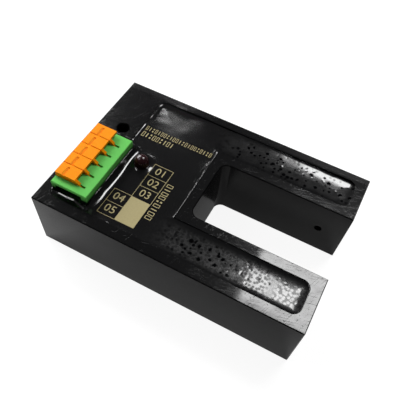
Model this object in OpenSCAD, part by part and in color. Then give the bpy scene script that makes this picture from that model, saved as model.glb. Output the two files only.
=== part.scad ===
// Fork-type optical sensor: a milled plastic block whose two arms stand either side of a slot.
// A light beam crosses the slot near its open end. The electronics lie in a stepped pocket that
// is filled with resin, and a five-pole spring-clamp terminal block stands out of the resin.

/* [Body] */
// Length of the body from its rear face to the open end of the fork
body_length = 96; // [92:1:120]
// Width of the body across both arms
body_width = 64; // [62:0.5:80]
// Height of the body
body_height = 24; // [22:0.5:32]
// Width of the small bevel on the outer edges and on the edges of the slot
edge_bevel = 0.3; // [0.1:0.05:0.6]

/* [Slot] */
// Depth of the slot, from the open end to its closed end
slot_depth = 48; // [42:0.5:50]
// Width of the slot between the two arms
slot_width = 24.7; // [20:0.1:26]
// Width of the arm that holds the emitter
emitter_arm_width = 20.2; // [18:0.1:21]
// Radius of the cutter in the closed corners of the slot
slot_corner_radius = 3; // [1.5:0.25:6]

/* [Pocket] */
// Thickness of the rim along the emitter arm's outer side
emitter_side_rim = 4; // [3:0.1:5]
// Thickness of the rim along the receiver arm's outer side
receiver_side_rim = 3.4; // [3:0.1:4.5]
// Thickness of the wall between the pocket and the slot, along both arms
slot_side_wall = 3.7; // [3.3:0.1:4.5]
// Thickness of the wall between the pocket and the closed end of the slot
slot_end_wall = 3.9; // [3:0.1:5]
// Thickness of the rim at the open ends of the arms
arm_end_rim = 3.6; // [3:0.1:5]
// Thickness of the rim behind the terminal block
rear_rim = 3.6; // [3:0.1:4]
// Length of the solid corner pad, from the rear face to the pocket
corner_pad_length = 14.8; // [13.5:0.1:16]
// Depth of the pocket below the top face
pocket_depth = 16; // [15.5:0.1:18]
// Width of the ledge that carries the circuit board
ledge_width = 1.2; // [0.8:0.1:1.6]
// Radius of the cutter in the pocket's corners
pocket_corner_radius = 3; // [2:0.25:4]
// Depth of the resin's surface below the top face
resin_drop = 0.6; // [0.3:0.1:1.2]

/* [Mounting hole] */
// Diameter of the through hole for an M4 screw
hole_diameter = 4.3; // [4.2:0.1:4.8]
// Distance of the hole's axis from the rear face
hole_setback = 9.2; // [7:0.1:10.5]
// Thickness of the wall between the hole and the terminal well
hole_wall = 0.75; // [0.6:0.05:2]
// Width of the hole's countersunk edge
hole_bevel = 0.35; // [0.1:0.05:0.5]

/* [Light beam] */
// Distance of the beam from the open end of the fork
beam_setback = 9.2; // [8:0.1:14]
// Depth of the beam below the top face
beam_drop = 12; // [11.6:0.1:13.4]
// Diameter of the aperture that the beam passes in each arm's inner wall
aperture_diameter = 2.7; // [2:0.1:2.9]
// Diameter of the bore drilled from outside, which seats the diode and then a plug
access_bore_diameter = 4.2; // [4:0.1:4.6]
// Depth of that bore's seat in each arm's inner wall
diode_seat_depth = 2; // [1.5:0.1:2.5]
// Gap all round each plug in its bore
plug_clearance = 0.03; // [0.02:0.01:0.1]

/* [Infrared diodes] */
// Diameter of the diode's body and lens
diode_diameter = 3; // [2.9:0.1:3.1]
// Length of the diode from the base of its flange to the tip of its lens
diode_length = 5.3; // [4.8:0.1:5.6]
// Diameter of the diode's flange
flange_diameter = 3.8; // [3.4:0.1:3.9]
// Thickness of the diode's flange
flange_thickness = 1; // [0.8:0.1:1.2]
// Gap between the tip of the lens and the bottom of its seat
lens_gap = 0.1; // [0.05:0.05:0.3]

/* [Leads] */
// Side of the square wire leads of all diodes
lead_side = 0.5; // [0.4:0.05:0.6]
// Distance between the two leads of a diode
lead_pitch = 2.54; // [2.4:0.02:2.6]
// Length that leads and pins stand out past the circuit board
lead_stub = 1; // [0.6:0.1:1.4]
// Distance from a diode's base to the bend in its leads
lead_bend = 1.5; // [1.2:0.1:2]

/* [Circuit board] */
// Depth of the ledge, and so of the board's underside, below the top face
board_drop = 9.4; // [9:0.05:9.5]
// Thickness of the circuit board
board_thickness = 1.6; // [1.2:0.1:1.8]
// Gap between the board's edge and the pocket's wall
board_clearance = 0.4; // [0.2:0.05:0.6]
// Gap all round each lead and pin in its hole in the board
lead_clearance = 0.15; // [0.05:0.05:0.25]
// Diameter of the two holes in the board that let the resin run through
fill_hole_diameter = 4; // [3:0.1:5]

/* [Terminal block] */
// Distance of the terminal block from the rear face
terminal_setback = 4.15; // [4:0.05:5]
// Distance of the terminal block from the body's side, along the poles
terminal_side_gap = 6.45; // [5.5:0.05:7.5]
// Depth of the terminal block, across the poles
terminal_depth = 13.6; // [13.4:0.1:14.5]
// Height of the terminal block above the circuit board
terminal_height = 12; // [11.8:0.1:13]
// Distance between two poles
pole_pitch = 5; // [4.9:0.01:5.1]
// Thickness of the walls between the poles' chambers
chamber_wall = 0.6; // [0.5:0.05:0.7]
// Thickness of the terminal block's outer walls and roof
terminal_wall = 1.2; // [1:0.1:1.3]
// Thickness of the solid end block beside the first pole
end_block = 2.74; // [2.2:0.02:3.2]
// Thickness of the end wall beside the last pole
end_wall = 0.76; // [0.6:0.02:1.2]
// Gap between the terminal block and the wall of its well, past the last pole
well_gap = 4.05; // [3:0.05:5]
// Width of the bevel along the terminal block's top edges
terminal_bevel = 0.2; // [0.1:0.05:0.4]

/* [End recess] */
// Wall that is left between the recess and the first chamber
recess_wall = 0.74; // [0.5:0.02:1.4]
// Height of the band that is left above the recess
recess_band = 1.1; // [0.8:0.1:1.6]
// Width of the leg that is left at the rear of the recess
recess_rear_leg = 1.3; // [1:0.1:2]
// Width of the leg that is left at the front of the recess
recess_front_leg = 2.2; // [1.5:0.1:3]

/* [Wire entries] */
// Diameter of a wire entry
entry_diameter = 2.6; // [2.2:0.1:2.8]
// Depth of the middle of a wire entry below the terminal block's top
entry_drop = 2.3; // [2.1:0.1:2.6]
// Downward slope of a wire entry
entry_slope = 30; // [20:1:35]

/* [Levers] */
// Thickness of a lever's pressing plate
plate_thickness = 0.9; // [0.8:0.1:1.3]
// Gap under the pressing plate, which is the room for its travel
plate_lift = 1.05; // [1.05:0.05:1.6]
// Length of the pressing plate
plate_length = 7.55; // [7:0.05:8]
// Distance of the plate's rear edge from the terminal block's rear face
plate_setback = 0.1; // [0.05:0.05:0.6]
// Thickness of the web along one side of a lever
web_thickness = 0.7; // [0.6:0.05:0.9]
// Gap between a web and the sides of its slot
web_clearance = 0.05; // [0.04:0.01:0.1]
// Depth to which a web sinks into its slot at rest
web_sink = 0.3; // [0.2:0.05:0.4]
// Depth of a web's notch in the terminal block's rear wall
notch_depth = 2.2; // [2:0.1:2.6]
// Gap between two levers
lever_gap = 0.3; // [0.2:0.01:0.4]
// Length of the sloping finger past the pressing plate
finger_length = 1.6; // [0.8:0.1:1.8]
// Width of the sloping finger
finger_width = 1; // [0.9:0.1:1.4]
// Height of the finger's tip above the terminal block
finger_tip_height = 0.45; // [0.4:0.05:0.7]
// Gap between the finger's underside and the roof, beside the web
finger_gap = 0.3; // [0.25:0.05:0.35]
// Distance that a slot in the roof runs on past the finger
slot_overrun = 2; // [1.8:0.05:2.4]
// Distance of the blade groove from the plate's rear edge
groove_setback = 2.35; // [1.8:0.05:2.8]
// Width of the blade groove, whose floor slopes down away from the plate's rear edge
groove_width = 1.1; // [0.8:0.1:1.4]
// Depth of the blade groove at its deep side
groove_depth = 0.5; // [0.3:0.05:0.6]
// Distance between the blade groove's end and the plate's free edge
groove_margin = 1.1; // [0.6:0.1:1.4]

/* [Lever shafts] */
// Distance of the shaft from the terminal block's rear face
shaft_setback = 10.15; // [10:0.05:10.4]
// Depth of the shaft below the terminal block's top
shaft_drop = 2.6; // [2.5:0.05:2.8]
// Diameter of the shaft
shaft_diameter = 1.6; // [1.4:0.1:1.8]
// Running gap all round the shaft
shaft_clearance = 0.05; // [0.04:0.01:0.1]
// Length of the shaft that sits in each chamber wall
shaft_seat = 0.2; // [0.1:0.02:0.24]
// Radius of the hub round the shaft
hub_radius = 1.5; // [1.3:0.05:1.6]
// Free travel between the lever's nose and its spring
nose_play = 0.65; // [0.6:0.05:0.9]
// Radius of the lever's nose
nose_radius = 0.5; // [0.4:0.05:0.6]
// Length of the nose across the spring
nose_reach = 0.85; // [0.6:0.05:1]

/* [Clamp springs and contacts] */
// Thickness of the spring strip
spring_thickness = 0.4; // [0.3:0.05:0.45]
// Width of the spring strip
spring_width = 3; // [2.6:0.1:3.1]
// Mean radius of the spring's bend
spring_radius = 2; // [1.8:0.1:2.1]
// Angle of the spring's bend
spring_angle = 110; // [105:1:115]
// Length of the spring's clamping leg
spring_leg = 5.5; // [4.5:0.1:5.8]
// Height of the spring's bend centre above the circuit board
spring_height = 5; // [4.6:0.1:5.1]
// Thickness of a contact's base plate and upright
contact_thickness = 0.8; // [0.6:0.1:0.9]
// Height of a contact's upright
contact_height = 4.5; // [4:0.1:5]
// Diameter of the solder pins
pin_diameter = 1; // [0.8:0.1:1.1]
// Distance between a contact's two solder pins
pin_spacing = 7; // [6:0.1:7.5]

/* [Status lamp] */
// Diameter of the status lamp
lamp_diameter = 5; // [4.9:0.1:5.1]
// Length of the status lamp from the base of its flange to its tip
lamp_length = 8.6; // [8:0.1:9]
// Diameter of the lamp's flange
lamp_flange_diameter = 5.8; // [5.5:0.1:5.9]
// Height of the lamp's base above the circuit board
lamp_standoff = 3.2; // [3:0.1:4]
// Distance of the lamp from the terminal block's front face
lamp_front_gap = 6.15; // [5:0.05:7]
// Distance of the lamp from the terminal block's end beside the last pole
lamp_end_gap = 4.25; // [3:0.05:6]

/* [Parts on the board] */
// Length, width and height of the voltage regulator
regulator_size = [6.6, 6.1, 2.3]; // [0.5:0.1:6.6]
// Length, width and height of the comparator
comparator_size = [5, 4, 1.6]; // [0.5:0.1:5]
// Length, width and height of each output transistor
transistor_size = [6.5, 3.5, 1.7]; // [0.5:0.1:6.5]
// Length, width and height of the protection diode
diode_case_size = [4.4, 2.6, 2.3]; // [0.5:0.1:5]
// Length, width and height of each chip resistor
resistor_size = [2, 1.25, 0.6]; // [0.5:0.05:2]
// Distance between two chip resistors
resistor_pitch = 2.4; // [2:0.1:2.6]
// Diameter of the smoothing capacitor's can
capacitor_diameter = 6.3; // [5:0.1:6.4]
// Height of the smoothing capacitor's can
capacitor_height = 6.4; // [5.5:0.1:6.5]

/* [Hidden] */
$fn = 48;

// Poles of the terminal block
poles = 5;
// Length by which cuts run past the faces that they break
past = 1;

// Levels
top_z = body_height;
floor_z = top_z - pocket_depth;
ledge_z = top_z - board_drop;
board_top_z = ledge_z + board_thickness;
resin_z = top_z - resin_drop;
beam_z = top_z - beam_drop;
terminal_top_z = board_top_z + terminal_height;

// Outline of the body, centred on the origin
rear_x = -body_length / 2;
open_x = body_length / 2;
emitter_side_y = -body_width / 2;
receiver_side_y = body_width / 2;
slot_end_x = open_x - slot_depth;
slot_emitter_y = emitter_side_y + emitter_arm_width;
slot_receiver_y = slot_emitter_y + slot_width;
beam_x = open_x - beam_setback;

// Outline of the terminal block and of the well round it
terminal_x = rear_x + terminal_setback;
terminal_front_x = terminal_x + terminal_depth;
terminal_y = emitter_side_y + terminal_side_gap;
terminal_length = end_block + poles * pole_pitch - chamber_wall + end_wall;
terminal_end_y = terminal_y + terminal_length;
well_end_y = terminal_end_y + well_gap;
hole_x = rear_x + hole_setback;
hole_y = well_end_y + hole_wall + hole_diameter / 2;

// Inner edges of the pocket
pocket_emitter_y = emitter_side_y + emitter_side_rim;
pocket_receiver_y = receiver_side_y - receiver_side_rim;
pocket_open_x = open_x - arm_end_rim;
pocket_rear_x = rear_x + corner_pad_length;
pocket_front_x = slot_end_x - slot_end_wall;
emitter_arm_inner_y = slot_emitter_y - slot_side_wall;
receiver_arm_inner_y = slot_receiver_y + slot_side_wall;
pocket_middle_x = (pocket_rear_x + pocket_front_x) / 2;

// Free part of the board, in front of the terminal block
free_rear_x = terminal_front_x;
free_front_x = pocket_front_x - board_clearance;
free_low_y = pocket_emitter_y + board_clearance;
free_high_y = pocket_receiver_y - board_clearance;

lamp_x = terminal_front_x + lamp_front_gap;
lamp_y = terminal_end_y - lamp_end_gap;

// Chambers of the terminal block
chamber_width = pole_pitch - chamber_wall;
function chamber_y(pole) = terminal_y + end_block + (pole - 1) * pole_pitch;
chamber_x = terminal_x + terminal_wall;
chamber_front_x = terminal_front_x - terminal_wall;
roof_z = terminal_top_z - terminal_wall;
spring_y_offset = web_thickness + web_clearance
    + (chamber_width - web_thickness - web_clearance - spring_width) / 2;

// Lever shaft, and the centre of the spring's bend, in each chamber
shaft_x = terminal_x + shaft_setback;
shaft_z = terminal_top_z - shaft_drop;
bend_x = chamber_front_x - terminal_wall / 3 - spring_radius - spring_thickness / 2;
bend_z = board_top_z + spring_height;
leg_start = [bend_x + spring_radius * cos(spring_angle), bend_z + spring_radius * sin(spring_angle)];
leg_slope = spring_angle - 90;
leg_dir = [-cos(leg_slope), -sin(leg_slope)];
leg_normal = [-sin(leg_slope), cos(leg_slope)];

// The nose lies square above the middle of the spring's leg, with its free travel between them
nose = leg_start + leg_dir * spring_leg / 2
    + leg_normal * (spring_thickness / 2 + nose_play + nose_radius);

// Rectangle from a low corner to a high corner, with all four corners rounded
module rounded_rect(low, high, radius) {
    translate(low + [radius, 0])
        square([high[0] - low[0] - 2 * radius, high[1] - low[1]]);
    translate(low + [0, radius])
        square([high[0] - low[0], high[1] - low[1] - 2 * radius]);
    for (x = [low[0] + radius, high[0] - radius], y = [low[1] + radius, high[1] - radius])
        translate([x, y])
            circle(r = radius);
}

// Outline of the pocket, narrowed by an inset: the body, the two arms and the terminal well.
// The rectangles overlap, so only the corners that a cutter would leave round stay round.
module pocket_outline(inset) {
    radius = pocket_corner_radius - inset;
    rounded_rect([pocket_rear_x + inset, pocket_emitter_y + inset],
        [pocket_front_x - inset, pocket_receiver_y - inset], radius);
    rounded_rect([pocket_middle_x, pocket_emitter_y + inset],
        [pocket_open_x - inset, emitter_arm_inner_y - inset], radius);
    rounded_rect([pocket_middle_x, receiver_arm_inner_y + inset],
        [pocket_open_x - inset, pocket_receiver_y - inset], radius);
    rounded_rect([rear_x + rear_rim + inset, pocket_emitter_y + inset],
        [pocket_middle_x, well_end_y - inset], radius);
}

// Bar with a diamond section along X, which cuts a bevel on an edge through its middle
module bevel_bar(length, width) {
    side = width * sqrt(2);
    rotate([45, 0, 0])
        cube([length, side, side], center = true);
}

// Bevels along the outer edges of the body
module outer_bevels() {
    for (z = [0, top_z]) {
        for (y = [emitter_side_y, receiver_side_y])
            translate([0, y, z])
                bevel_bar(body_length + 2 * past, edge_bevel);
        for (x = [rear_x, open_x])
            translate([x, 0, z])
                rotate([0, 0, 90])
                    bevel_bar(body_width + 2 * past, edge_bevel);
    }
    for (x = [rear_x, open_x], y = [emitter_side_y, receiver_side_y])
        translate([x, y, top_z / 2])
            rotate([0, 90, 0])
                bevel_bar(body_height + 2 * past, edge_bevel);
}

// Quarter ring with the same diamond section, for a round corner that starts at an angle
module bevel_quarter(radius, width, start) {
    rotate([0, 0, start])
        rotate_extrude(angle = 90)
            translate([radius, 0])
                polygon([[width, 0], [0, width], [-width, 0], [0, -width]]);
}

// Bevels round the slot: straight bars along its sides and quarter rings in its round corners
module slot_bevels() {
    corner_x = slot_end_x + slot_corner_radius;
    side_length = slot_depth - slot_corner_radius + past;
    end_length = slot_width - 2 * slot_corner_radius;
    for (z = [0, top_z]) {
        for (y = [slot_emitter_y, slot_receiver_y])
            translate([corner_x + side_length / 2, y, z])
                bevel_bar(side_length, edge_bevel);
        translate([slot_end_x, slot_emitter_y + slot_width / 2, z])
            rotate([0, 0, 90])
                bevel_bar(end_length, edge_bevel);
        translate([corner_x, slot_emitter_y + slot_corner_radius, z])
            bevel_quarter(slot_corner_radius, edge_bevel, 180);
        translate([corner_x, slot_receiver_y - slot_corner_radius, z])
            bevel_quarter(slot_corner_radius, edge_bevel, 90);
    }
}

// Slot through the full height of the body, open at one end
module sensing_slot() {
    translate([0, 0, -past])
        linear_extrude(body_height + 2 * past)
            rounded_rect([slot_end_x, slot_emitter_y],
                [open_x + slot_corner_radius + past, slot_receiver_y], slot_corner_radius);
}

// Cylinder along Y between two places
module bar_y(from_y, to_y, diameter) {
    translate([0, from_y, 0])
        rotate([-90, 0, 0])
            cylinder(d = diameter, h = to_y - from_y);
}

// Apertures and access bores along the beam, through both arms
module beam_bores() {
    translate([beam_x, 0, beam_z]) {
        bar_y(slot_emitter_y - slot_side_wall, slot_receiver_y + slot_side_wall, aperture_diameter);
        bar_y(emitter_side_y - past, emitter_arm_inner_y + diode_seat_depth, access_bore_diameter);
        bar_y(receiver_arm_inner_y - diode_seat_depth, receiver_side_y + past, access_bore_diameter);
    }
}

// Through hole for a screw, with a small countersink at both ends
module mounting_hole() {
    translate([hole_x, hole_y, 0]) {
        translate([0, 0, -past])
            cylinder(d = hole_diameter, h = body_height + 2 * past);
        cylinder(d1 = hole_diameter + 2 * hole_bevel, d2 = hole_diameter, h = hole_bevel);
        translate([0, 0, top_z - hole_bevel])
            cylinder(d1 = hole_diameter, d2 = hole_diameter + 2 * hole_bevel, h = hole_bevel);
    }
}

module housing() {
    color([0.09, 0.09, 0.1])
        difference() {
            translate([rear_x, emitter_side_y, 0])
                cube([body_length, body_width, body_height]);
            sensing_slot();
            translate([0, 0, ledge_z])
                linear_extrude(board_drop + past)
                    pocket_outline(0);
            translate([0, 0, floor_z])
                linear_extrude(pocket_depth)
                    pocket_outline(ledge_width);
            mounting_hole();
            beam_bores();
            outer_bevels();
            slot_bevels();
        }
}

// Resin cast round everything on the board, up to its own level
module potting_resin() {
    color([0.03, 0.03, 0.03])
        difference() {
            union() {
                translate([0, 0, ledge_z])
                    linear_extrude(resin_z - ledge_z)
                        pocket_outline(0);
                translate([0, 0, floor_z])
                    linear_extrude(ledge_z - floor_z)
                        pocket_outline(ledge_width);
            }
            board_form();
            terminal_block_form();
            for (pole = [1 : poles])
                contact_pins(pole, 0);
            lamp_form();
            lamp_leads(0);
            diode_form(-1);
            diode_leads(-1, 0);
            diode_form(1);
            diode_leads(1, 0);
            regulator_form();
            comparator_form();
            transistor_form(1);
            transistor_form(2);
            protection_diode_form();
            capacitor_form();
            resistor_forms();
        }
}

// Place at a share of the way across the free area of the board
function free_place(share) = [
    free_rear_x + share[0] * (free_front_x - free_rear_x),
    free_low_y + share[1] * (free_high_y - free_low_y)
];

// Board with its two resin holes, but without the holes for leads and pins
module board_form() {
    translate([0, 0, ledge_z])
        linear_extrude(board_thickness)
            difference() {
                pocket_outline(board_clearance);
                for (share = [[0.25, 0.7], [0.3, 0.25]])
                    translate(free_place(share))
                        circle(d = fill_hole_diameter);
            }
}

module circuit_board() {
    color([0.12, 0.36, 0.2])
        difference() {
            board_form();
            for (pole = [1 : poles])
                contact_pins(pole, lead_clearance);
            lamp_leads(lead_clearance);
            diode_leads(-1, lead_clearance);
            diode_leads(1, lead_clearance);
        }
}

// Outer form of the terminal block: bevelled top edges and a recess in its end block
module terminal_block_form() {
    difference() {
        translate([terminal_x, terminal_y, board_top_z])
            cube([terminal_depth, terminal_length, terminal_height]);
        for (x = [terminal_x, terminal_front_x])
            translate([x, terminal_y + terminal_length / 2, terminal_top_z])
                rotate([0, 0, 90])
                    bevel_bar(terminal_length + 2 * past, terminal_bevel);
        for (y = [terminal_y, terminal_end_y])
            translate([terminal_x + terminal_depth / 2, y, terminal_top_z])
                bevel_bar(terminal_depth + 2 * past, terminal_bevel);
        translate([terminal_x + recess_rear_leg, terminal_y - past, board_top_z + recess_band])
            cube([terminal_depth - recess_rear_leg - recess_front_leg,
                end_block - recess_wall + past, terminal_height - 2 * recess_band]);
    }
}

// Chamber of one pole, open at the bottom
module pole_chamber(pole) {
    translate([chamber_x, chamber_y(pole), board_top_z - past])
        cube([chamber_front_x - chamber_x, chamber_width, roof_z - board_top_z + past]);
}

// Slot in the roof and the rear wall for the web of one lever
module lever_slot(pole) {
    slot_length = plate_setback + plate_length + finger_length + slot_overrun;
    translate([terminal_x - past, chamber_y(pole), terminal_top_z - notch_depth])
        cube([past + slot_length, web_thickness + 2 * web_clearance, notch_depth + past]);
}

// Sloping wire entry of one pole
module wire_entry(pole) {
    reach = terminal_wall / cos(entry_slope) + entry_diameter;
    translate([terminal_x, chamber_y(pole) + spring_y_offset + spring_width / 2,
        terminal_top_z - entry_drop])
        rotate([0, 90 + entry_slope, 0])
            translate([0, 0, -entry_diameter])
                cylinder(d = entry_diameter, h = entry_diameter + reach);
}

module terminal_housing() {
    color([0.3, 0.7, 0.32])
        difference() {
            terminal_block_form();
            for (pole = [1 : poles]) {
                pole_chamber(pole);
                lever_slot(pole);
                wire_entry(pole);
            }
            translate([shaft_x, 0, shaft_z])
                bar_y(chamber_y(1) - shaft_seat, chamber_y(poles) + chamber_width + shaft_seat,
                    shaft_diameter + 2 * shaft_clearance);
        }
}

// Side view of a lever's web: plate end, sloping finger, and the arm down to the shaft and nose
module web_outline() {
    rear = terminal_x + plate_setback;
    plate_end = rear + plate_length;
    finger_end = plate_end + finger_length;
    plate_top = terminal_top_z + plate_lift + plate_thickness;
    web_foot = terminal_top_z - web_sink;
    polygon([
        [rear, plate_top],
        [plate_end, plate_top],
        [finger_end, terminal_top_z + finger_tip_height],
        [finger_end, web_foot],
        [shaft_x + hub_radius / 2, shaft_z + hub_radius / 2],
        [shaft_x, shaft_z - hub_radius],
        [nose[0], nose[1] - nose_radius],
        [nose[0] - nose_radius, nose[1]],
        [rear + plate_length / 2, web_foot],
        [terminal_x + web_clearance, web_foot]
    ]);
    translate(nose)
        circle(r = nose_radius);
    translate([shaft_x, shaft_z])
        circle(r = hub_radius);
}

// Side view of the finger, which is wider than the web and stays clear of the roof
module finger_outline() {
    plate_end = terminal_x + plate_setback + plate_length;
    finger_end = plate_end + finger_length;
    plate_z = terminal_top_z + plate_lift;
    polygon([
        [plate_end - plate_thickness / 2, plate_z],
        [plate_end - plate_thickness / 2, plate_z + plate_thickness],
        [plate_end, plate_z + plate_thickness],
        [finger_end, terminal_top_z + finger_tip_height],
        [finger_end, terminal_top_z + finger_gap],
        [plate_end, terminal_top_z + finger_gap]
    ]);
}

// Cut of the blade groove in side view, on the plate's top face
module blade_groove_profile() {
    polygon([
        [0, 0],
        [groove_width, -groove_depth],
        [groove_width, past],
        [0, past]
    ]);
}

// Lever of one pole: web, finger, plate with its blade groove, shaft, and nose over the spring
module clamp_lever(pole) {
    web_y = chamber_y(pole) + web_clearance;
    web_end_y = web_y + web_thickness;
    lever_width = pole_pitch - lever_gap;
    plate_z = terminal_top_z + plate_lift;
    plate_x = terminal_x + plate_setback;
    color([1, 0.6, 0.12])
        difference() {
            union() {
                translate([0, web_end_y, 0])
                    rotate([90, 0, 0])
                        linear_extrude(web_thickness)
                            web_outline();
                translate([0, web_y + finger_width, 0])
                    rotate([90, 0, 0])
                        linear_extrude(finger_width)
                            finger_outline();
                translate([plate_x, web_y, plate_z])
                    cube([plate_length, lever_width, plate_thickness]);
                translate([shaft_x, 0, shaft_z])
                    bar_y(chamber_y(pole) - shaft_seat, chamber_y(pole) + chamber_width + shaft_seat,
                        shaft_diameter);
                translate([nose[0], 0, nose[1]])
                    bar_y(web_y, web_end_y + nose_reach, 2 * nose_radius);
            }
            translate([plate_x + groove_setback, web_y + lever_width - groove_margin, plate_z + plate_thickness])
                rotate([90, 0, 0])
                    linear_extrude(lever_width - groove_margin + past)
                        blade_groove_profile();
        }
}

// Spring of one pole: an upright on the contact, a round bend and a sloping clamping leg
module clamp_spring(pole) {
    inner = spring_radius - spring_thickness / 2;
    outer = spring_radius + spring_thickness / 2;
    foot_z = board_top_z + contact_thickness;
    tip = leg_start + leg_dir * spring_leg;
    half = leg_normal * spring_thickness / 2;
    reach = 3 * outer;
    color([0.72, 0.73, 0.74])
        translate([0, chamber_y(pole) + spring_y_offset + spring_width, 0])
            rotate([90, 0, 0])
                linear_extrude(spring_width) {
                    translate([bend_x + inner, foot_z])
                        square([spring_thickness, bend_z - foot_z]);
                    translate([bend_x, bend_z])
                        intersection() {
                            difference() {
                                circle(r = outer);
                                circle(r = inner);
                            }
                            polygon([
                                [0, 0],
                                [reach, 0],
                                [reach, reach],
                                [0, reach],
                                reach * [cos(spring_angle), sin(spring_angle)]
                            ]);
                        }
                    polygon([leg_start - half, leg_start + half, tip + half, tip - half]);
                }
}

// Two solder pins of one contact, widened by a clearance
module contact_pins(pole, clearance) {
    middle_x = (chamber_x + chamber_front_x) / 2;
    middle_y = chamber_y(pole) + spring_y_offset + spring_width / 2;
    for (x = [middle_x - pin_spacing / 2, middle_x + pin_spacing / 2])
        translate([x, middle_y, ledge_z - lead_stub])
            cylinder(d = pin_diameter + 2 * clearance, h = lead_stub + board_thickness);
}

// Contact of one pole: base plate on the board, upright behind the clamping point, solder pins
module contact(pole) {
    base_x = chamber_x + terminal_wall / 3;
    base_length = chamber_front_x - terminal_wall / 3 - base_x;
    color([0.8, 0.79, 0.76])
        union() {
            translate([base_x, chamber_y(pole) + spring_y_offset, board_top_z])
                cube([base_length, spring_width, contact_thickness]);
            translate([base_x, chamber_y(pole) + spring_y_offset, board_top_z])
                cube([contact_thickness, spring_width, contact_height]);
            contact_pins(pole, 0);
        }
}

// Body of the status lamp: flange, cylinder and round lens
module lamp_form() {
    dome_z = board_top_z + lamp_standoff + lamp_length - lamp_diameter / 2;
    translate([lamp_x, lamp_y, board_top_z + lamp_standoff]) {
        cylinder(d = lamp_flange_diameter, h = flange_thickness);
        cylinder(d = lamp_diameter, h = lamp_length - lamp_diameter / 2);
    }
    translate([lamp_x, lamp_y, dome_z])
        sphere(d = lamp_diameter);
}

// Two straight leads of the status lamp, widened by a clearance
module lamp_leads(clearance) {
    side = lead_side + 2 * clearance;
    for (x = [lamp_x - lead_pitch / 2, lamp_x + lead_pitch / 2])
        translate([x - side / 2, lamp_y - side / 2, ledge_z - lead_stub])
            cube([side, side, lead_stub + board_thickness + lamp_standoff + flange_thickness / 2]);
}

module status_lamp() {
    color([0.35, 0.03, 0.06])
        union() {
            lamp_form();
            lamp_leads(0);
        }
}

// Tip and base of an infrared diode along Y: side -1 is the emitter, side 1 the receiver
function diode_tip_y(side) = side < 0
    ? emitter_arm_inner_y + diode_seat_depth - lens_gap
    : receiver_arm_inner_y - diode_seat_depth + lens_gap;
function diode_base_y(side) = diode_tip_y(side) + side * diode_length;

// Body of an infrared diode, which looks into the slot through its aperture
module diode_form(side) {
    base_y = diode_base_y(side);
    dome_y = diode_tip_y(side) + side * diode_diameter / 2;
    flange_y = base_y - side * flange_thickness;
    translate([beam_x, 0, beam_z]) {
        bar_y(min(base_y, dome_y), max(base_y, dome_y), diode_diameter);
        bar_y(min(base_y, flange_y), max(base_y, flange_y), flange_diameter);
        translate([0, dome_y, 0])
            sphere(d = diode_diameter);
    }
}

// Leads of an infrared diode: straight back from its base, then up through the board
module diode_leads(side, clearance) {
    thick = lead_side + 2 * clearance;
    base_y = diode_base_y(side);
    bend_y = base_y + side * lead_bend;
    inner_y = base_y - side * flange_thickness / 2;
    for (x = [beam_x - lead_pitch / 2, beam_x + lead_pitch / 2]) {
        translate([x - thick / 2, min(bend_y - lead_side / 2, inner_y), beam_z - thick / 2])
            cube([thick, abs(inner_y - bend_y) + lead_side / 2, thick]);
        translate([x - thick / 2, bend_y - thick / 2, beam_z - thick / 2])
            cube([thick, thick, board_top_z + lead_stub - beam_z + thick / 2]);
    }
}

module infrared_diode(side) {
    union() {
        diode_form(side);
        diode_leads(side, 0);
    }
}

module infrared_emitter() {
    color([0.2, 0.22, 0.35])
        infrared_diode(-1);
}

module infrared_receiver() {
    color([0.1, 0.1, 0.12])
        infrared_diode(1);
}

// Plug that closes an access bore, flush with the outside of its arm
module emitter_bore_plug() {
    color([0.1, 0.1, 0.11])
        translate([beam_x, 0, beam_z])
            bar_y(emitter_side_y, pocket_emitter_y, access_bore_diameter - 2 * plug_clearance);
}

module receiver_bore_plug() {
    color([0.1, 0.1, 0.11])
        translate([beam_x, 0, beam_z])
            bar_y(pocket_receiver_y, receiver_side_y, access_bore_diameter - 2 * plug_clearance);
}

// Block on the board, centred at a share of the way across the free area
module board_block(share, size) {
    place = free_place(share);
    translate([place[0] - size[0] / 2, place[1] - size[1] / 2, board_top_z])
        cube(size);
}

module regulator_form() {
    board_block([0.25, 0.88], regulator_size);
}

module voltage_regulator() {
    color([0.13, 0.13, 0.14])
        regulator_form();
}

module comparator_form() {
    board_block([0.7, 0.66], comparator_size);
}

module comparator() {
    color([0.13, 0.13, 0.14])
        comparator_form();
}

module transistor_form(number) {
    board_block([0.72, 0.3 + 0.12 * (number - 1)], transistor_size);
}

module output_transistor(number) {
    color([0.13, 0.13, 0.14])
        transistor_form(number);
}

module protection_diode_form() {
    board_block([0.2, 0.08], diode_case_size);
}

module protection_diode() {
    color([0.15, 0.15, 0.16])
        protection_diode_form();
}

module capacitor_form() {
    place = free_place([0.7, 0.12]);
    translate([place[0], place[1], board_top_z])
        cylinder(d = capacitor_diameter, h = capacitor_height);
}

module smoothing_capacitor() {
    color([0.75, 0.76, 0.78])
        capacitor_form();
}

// Row of chip resistors beside the voltage regulator
module resistor_forms() {
    place = free_place([0.6, 0.88]);
    for (number = [0 : 3])
        translate([place[0] + number * resistor_pitch - resistor_size[1] / 2,
            place[1] - resistor_size[0] / 2, board_top_z])
            cube([resistor_size[1], resistor_size[0], resistor_size[2]]);
}

module chip_resistors() {
    color([0.2, 0.2, 0.22])
        resistor_forms();
}

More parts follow.
